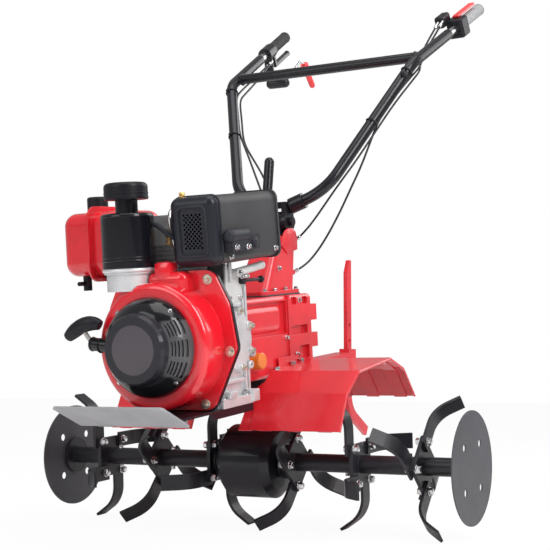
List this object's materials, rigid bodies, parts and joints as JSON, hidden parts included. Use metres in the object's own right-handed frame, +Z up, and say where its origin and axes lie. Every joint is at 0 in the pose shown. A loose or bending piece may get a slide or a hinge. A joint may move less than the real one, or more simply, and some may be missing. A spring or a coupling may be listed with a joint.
{
  "type": "walking tractor",
  "caption": "Walk-behind tiller: diesel engine and gearbox on a tined rotor with side discs, tilting handlebar and rear drag stake.",
  "frame": {"origin": "centre of the bounding box at floor level, under the machine", "axes": "+X forward to the bumper, +Y to the machine's left, +Z up"},
  "size_m": [1.2364, 0.9806, 1.2809],
  "materials": {
    "red_paint": "gloss",
    "black_paint": "satin",
    "cast_alloy": "matte",
    "steel": "satin",
    "black_plastic": "matte",
    "badge_plastic": "gloss",
    "orange_plastic": "gloss",
    "red_plastic": "gloss",
    "grip_rubber": "matte",
    "grey_rubber": "matte"
  },
  "bodies": {
    "frame": {"final_drive": "black_paint", "gearbox": "red_paint", "gear_tower": "red_paint", "handle_bracket": "black_paint", "shift_lever": "black_paint", "fan_shroud": "red_paint", "shroud_backing": "black_paint", "recoil_starter": "black_plastic", "recoil_badge": "badge_plastic", "rope_grip": "black_plastic", "crankcase": "cast_alloy", "cylinder": "cast_alloy", "rocker_cover": "cast_alloy", "air_base": "cast_alloy", "air_can": "black_paint", "air_cap": "black_plastic", "fuel_tank": "red_paint", "tank_cap": "black_plastic", "fuel_tap": "black_plastic", "tank_shelf": "black_paint", "muffler": "black_paint", "muffler_guard": "black_paint", "muffler_outlet": "black_paint", "exhaust_elbow": "steel", "speed_control": "steel", "stop_lever": "black_plastic", "oil_cap": "orange_plastic", "engine_bed": "black_paint", "bumper": "black_paint", "fender_left": "red_paint", "fender_right": "red_paint", "hitch": "red_paint"},
    "tine_rotor": {"axle_shaft": "steel", "tine_reel_left": "black_paint", "tine_reel_right": "black_paint", "side_disc_left": "black_paint", "side_disc_right": "black_paint"},
    "handlebar": {"handle_clamp": "black_paint", "handle_tube_left": "black_paint", "handle_tube_right": "black_paint", "grip_bar_left": "steel", "grip_bar_right": "steel", "cross_tube": "black_paint", "grip_left": "grey_rubber", "grip_right": "grip_rubber", "throttle_housing": "black_plastic", "throttle_lever": "red_plastic", "clutch_perch": "black_paint", "clutch_lever": "black_paint", "side_lever": "steel", "side_sleeve": "red_plastic", "control_cables": "black_plastic"},
    "drag_stake": {"drag_stake": "red_paint"}
  },
  "joints": [
    {"name": "tine_axle_spin", "type": "hinge", "parent": "frame", "child": "tine_rotor", "pos_m": [0.06071, 0, 0.14247], "axis": [0, 1, 0], "continuous": true},
    {"name": "handlebar_tilt", "type": "hinge", "parent": "frame", "child": "handlebar", "pos_m": [-0.03463, 0, 0.67033], "axis": [0, 1, 0], "range_deg": [-15, 15], "deforming": ["control_cables"]},
    {"name": "drag_stake_slide", "type": "slide", "parent": "frame", "child": "drag_stake", "axis": [0, 0, 1], "range_m": [-0.15, 0.05]}
  ]
}
